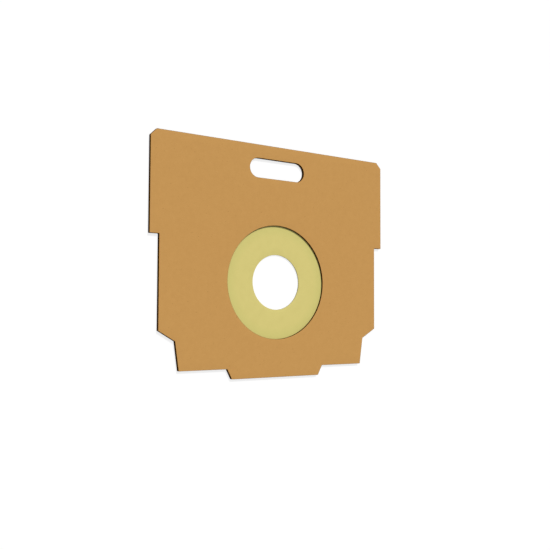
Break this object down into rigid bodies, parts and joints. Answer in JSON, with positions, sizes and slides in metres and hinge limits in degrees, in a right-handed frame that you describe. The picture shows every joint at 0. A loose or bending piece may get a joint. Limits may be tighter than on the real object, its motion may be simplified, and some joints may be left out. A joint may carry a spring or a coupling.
{
  "type": "vacuum dust bag mounting plate",
  "caption": "Flat kraft-board mounting plate of a vacuum dust bag: stepped outline with a foot tab, a finger slot, and a round inlet closed by a thin rubber sealing ring.",
  "frame": {"origin": "on the rear face, at the middle of the outline's box", "axes": "+X across the plate, +Y from the foot tab to the finger slot, +Z out of the front face"},
  "size_m": [0.145, 0.122, 0.0019],
  "materials": {
    "kraft_board": "plain unbleached kraft board, matt, with a faint fibre mottle and dark die-cut edges",
    "seal_rubber": "pale yellow-green soft rubber, satin"
  },
  "bodies": {
    "root": {"front_board": "kraft_board", "rear_board": "kraft_board", "sealing_ring": "seal_rubber"}
  },
  "joints": []
}
